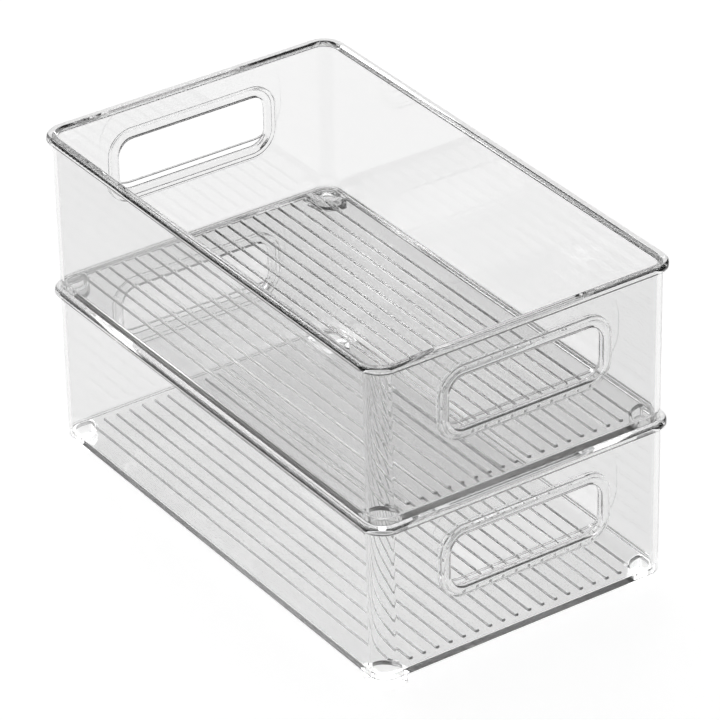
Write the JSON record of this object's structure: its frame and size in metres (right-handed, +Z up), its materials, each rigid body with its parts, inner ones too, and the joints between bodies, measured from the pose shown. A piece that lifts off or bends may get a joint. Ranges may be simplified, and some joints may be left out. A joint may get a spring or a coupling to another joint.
{
  "type": "stacking fridge bin",
  "caption": "Clear open-top fridge bin with handle slots in both ends and a ribbed floor on corner feet, with a matching bin stacked on its rim.",
  "frame": {"origin": "on the ground, under the middle of the stack", "axes": "+Y along the bins' long side, -Y towards the end shown at the front, +X across, +Z up"},
  "size_m": [0.152, 0.252, 0.1556],
  "materials": {
    "clear_plastic": "clear injection-moulded PET, polished"
  },
  "bodies": {
    "lower_bin": {"lower_bin": "clear_plastic"},
    "upper_bin": {"upper_bin": "clear_plastic"}
  },
  "joints": [
    {"name": "upper_bin_lift", "type": "slide", "parent": "lower_bin", "child": "upper_bin", "axis": [0, 0, 1], "range_m": [0, 0.12]}
  ]
}
